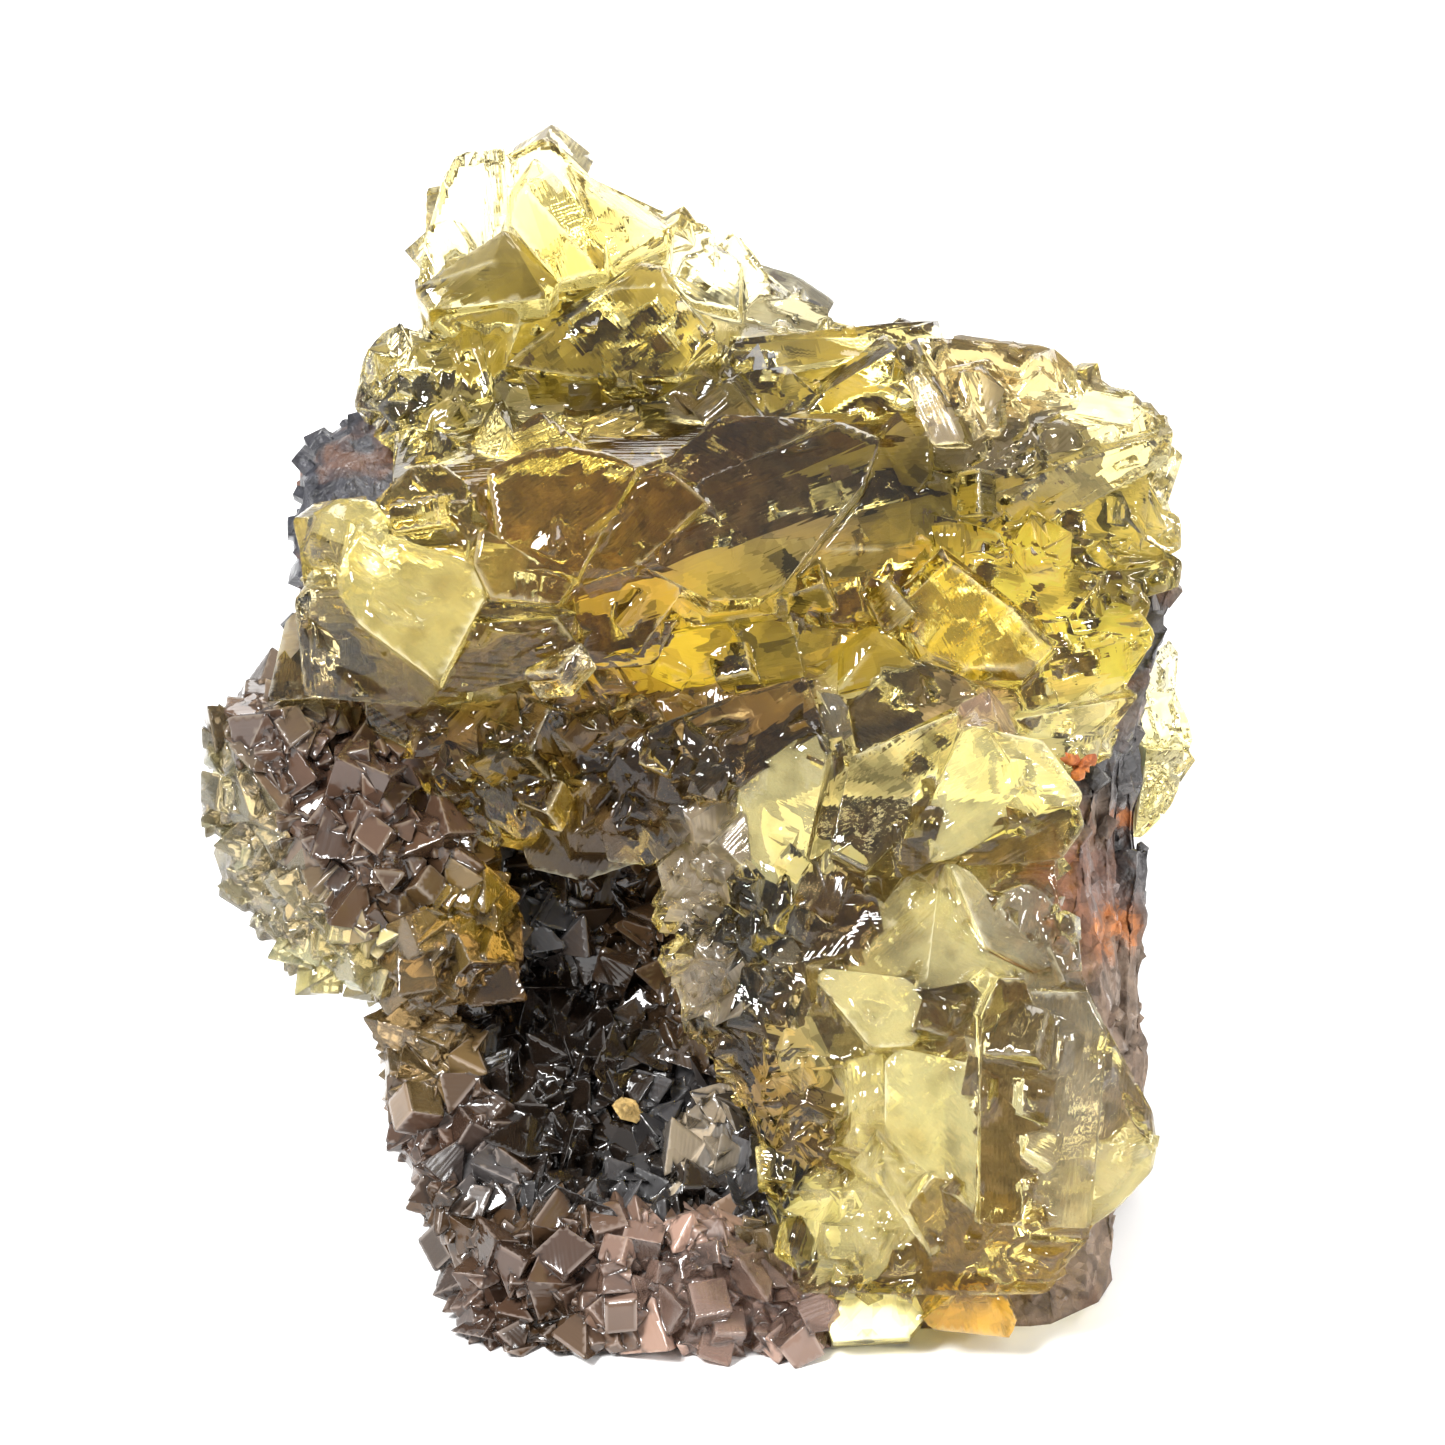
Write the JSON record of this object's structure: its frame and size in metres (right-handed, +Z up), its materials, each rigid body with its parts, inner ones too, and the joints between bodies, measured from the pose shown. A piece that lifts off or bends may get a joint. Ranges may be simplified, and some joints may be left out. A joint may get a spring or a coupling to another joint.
{
  "type": "fluorite crystal cluster",
  "caption": "Cluster of yellow cubic fluorite crystals on dark rock, with a smoky druse knob and a dark crystal-lined hollow, cut flat below.",
  "frame": {"origin": "on the flat cut that the specimen rests on, below the middle of its bounding box", "axes": "+Z up, the display face looks along -Y and leans back 22 degrees, +X is to the right seen from the front"},
  "size_m": [0.0634, 0.0564, 0.0652],
  "materials": {
    "rock": "rough, layered, iron-stained",
    "yellow_fluorite": "clear yellow to olive crystal, polished and frosted faces",
    "pale_fluorite": "pale yellow crystal with grey edges",
    "smoky_druse": "small smoky brown crystals",
    "brown_druse": "small pinkish brown crystals",
    "dark_crust": "near black glinting crystals",
    "iron_oxide": "earthy orange-red",
    "tan_crystal": "satin tan crystal"
  },
  "bodies": {
    "root": {"matrix_rock": "rock", "front_fluorite": "yellow_fluorite", "back_fluorite": "pale_fluorite", "left_druse": "smoky_druse", "lower_druse": "brown_druse", "hollow_crust": "dark_crust", "iron_oxide_lump": "iron_oxide", "tan_grain": "tan_crystal"}
  },
  "joints": []
}
